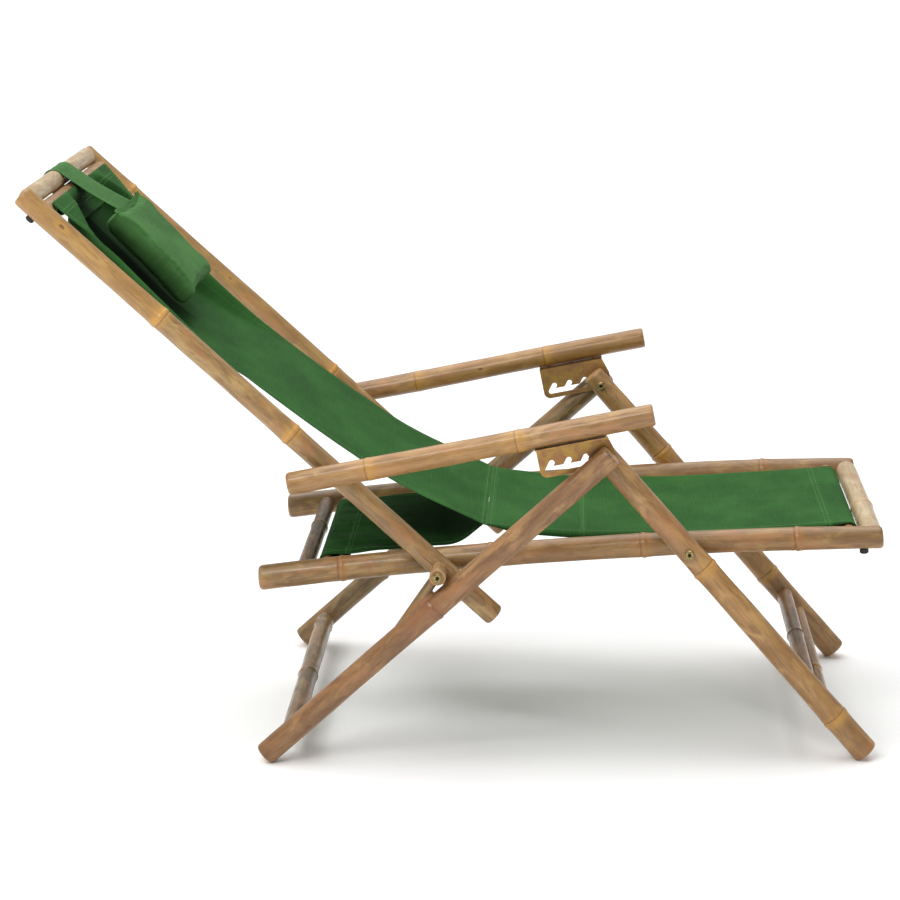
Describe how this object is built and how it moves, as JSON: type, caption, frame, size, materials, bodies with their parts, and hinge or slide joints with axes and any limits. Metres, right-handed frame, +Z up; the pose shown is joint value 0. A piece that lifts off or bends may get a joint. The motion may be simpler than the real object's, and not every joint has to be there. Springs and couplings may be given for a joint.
{
  "type": "folding_recliner",
  "caption": "Bamboo folding recliner: pole frame with crossed legs, pivoting arms on notched steel brackets, green canvas sling and tied-on pillow.",
  "frame": {"origin": "middle of the chair on the floor", "axes": "+X towards the foot end, -Y the near side of the picture, +Z up"},
  "size_m": [1.436, 0.7302, 0.9653],
  "materials": {
    "bamboo": "skin of the cane, satin, with rings",
    "pale_bamboo": "scraped cane, matt",
    "passivated_steel": "yellow zinc passivate",
    "zinc_steel": "bright zinc",
    "black_rubber": "matt",
    "canvas": "plain woven cotton canvas"
  },
  "bodies": {
    "seat_frame": {"seat_rail_near": "bamboo", "seat_rail_far": "bamboo", "foot_bar": "pale_bamboo", "foot_sling_bar": "bamboo", "rear_bar": "pale_bamboo", "rear_sling_bar": "bamboo", "seat_bumper_near": "black_rubber", "seat_bumper_far": "black_rubber", "seat_sling": "canvas", "rear_sling": "canvas", "leg_bolt_near": "zinc_steel", "leg_bolt_far": "zinc_steel", "leg_nut_near": "zinc_steel", "leg_nut_far": "zinc_steel", "leg_washer_near": "black_rubber", "leg_washer_far": "black_rubber"},
    "front_legs": {"front_leg_near": "bamboo", "front_leg_far": "bamboo", "front_stretcher_upper": "bamboo", "front_stretcher_lower": "bamboo", "top_bolt_near": "zinc_steel", "top_bolt_far": "zinc_steel"},
    "rear_legs": {"rear_leg_near": "bamboo", "rear_leg_far": "bamboo", "rear_stretcher": "bamboo"},
    "back_pivots": {"pivot_peg_near": "bamboo", "pivot_peg_far": "bamboo", "pivot_bolt_near": "zinc_steel", "pivot_bolt_far": "zinc_steel", "pivot_nut_near": "zinc_steel", "pivot_nut_far": "zinc_steel", "pivot_washer_near": "black_rubber", "pivot_washer_far": "black_rubber", "hip_sling": "canvas"},
    "back_frame": {"back_rail_near": "bamboo", "back_rail_far": "bamboo", "top_bar": "pale_bamboo", "top_sling_bar": "bamboo", "back_sling": "canvas", "pillow": "canvas", "pillow_strap": "canvas", "back_bumper_near": "black_rubber", "back_bumper_far": "black_rubber"},
    "arm_pivots": {"arm_bolt_near": "zinc_steel", "arm_bolt_far": "zinc_steel", "arm_spacer_near": "black_rubber", "arm_spacer_far": "black_rubber"},
    "armrest_near_arm": {"armrest_near": "bamboo", "arm_bracket_near": "passivated_steel", "bracket_screw_near_1": "zinc_steel", "bracket_screw_near_2": "zinc_steel", "bracket_screw_near_3": "zinc_steel"},
    "armrest_far_arm": {"armrest_far": "bamboo", "arm_bracket_far": "passivated_steel", "bracket_screw_far_1": "zinc_steel", "bracket_screw_far_2": "zinc_steel", "bracket_screw_far_3": "zinc_steel"}
  },
  "joints": [
    {"name": "leg_fold", "type": "hinge", "parent": "seat_frame", "child": "front_legs", "pos_m": [0.38652, 0, 0.36417], "axis": [0, -1, 0], "range_deg": [0, 42]},
    {"name": "rear_leg_fold", "type": "hinge", "parent": "front_legs", "child": "rear_legs", "pos_m": [0.24285, 0, 0.52945], "axis": [0, -1, 0], "range_deg": [0, 84]},
    {"name": "back_fold", "type": "hinge", "parent": "seat_frame", "child": "back_pivots", "pos_m": [-0.03348, 0, 0.33517], "axis": [0, -1, 0], "range_deg": [0, 43]},
    {"name": "recline", "type": "hinge", "parent": "back_pivots", "child": "back_frame", "pos_m": [-0.03348, 0, 0.33517], "axis": [0, 1, 0], "range_deg": [0, 25], "deforming": ["hip_sling"]},
    {"name": "arm_fold", "type": "hinge", "parent": "back_frame", "child": "arm_pivots", "pos_m": [-0.2147, 0, 0.50152], "axis": [0, 1, 0], "range_deg": [0, 40]},
    {"name": "arm_tilt_near", "type": "hinge", "parent": "arm_pivots", "child": "armrest_near_arm", "pos_m": [-0.21588, -0.3336, 0.5074], "axis": [0, -1, 0], "range_deg": [0, 19]},
    {"name": "arm_tilt_far", "type": "hinge", "parent": "arm_pivots", "child": "armrest_far_arm", "pos_m": [-0.21588, 0.3336, 0.5074], "axis": [0, -1, 0], "range_deg": [0, 19]}
  ],
  "couplings": [
    {"joint": "rear_leg_fold", "follows": "leg_fold", "ratio": 1.95},
    {"joint": "back_fold", "follows": "leg_fold", "ratio": 1},
    {"joint": "arm_fold", "follows": "leg_fold", "ratio": 0.9191},
    {"joint": "arm_tilt_near", "follows": "recline", "ratio": 0.7301},
    {"joint": "arm_tilt_far", "follows": "recline", "ratio": 0.7301}
  ]
}
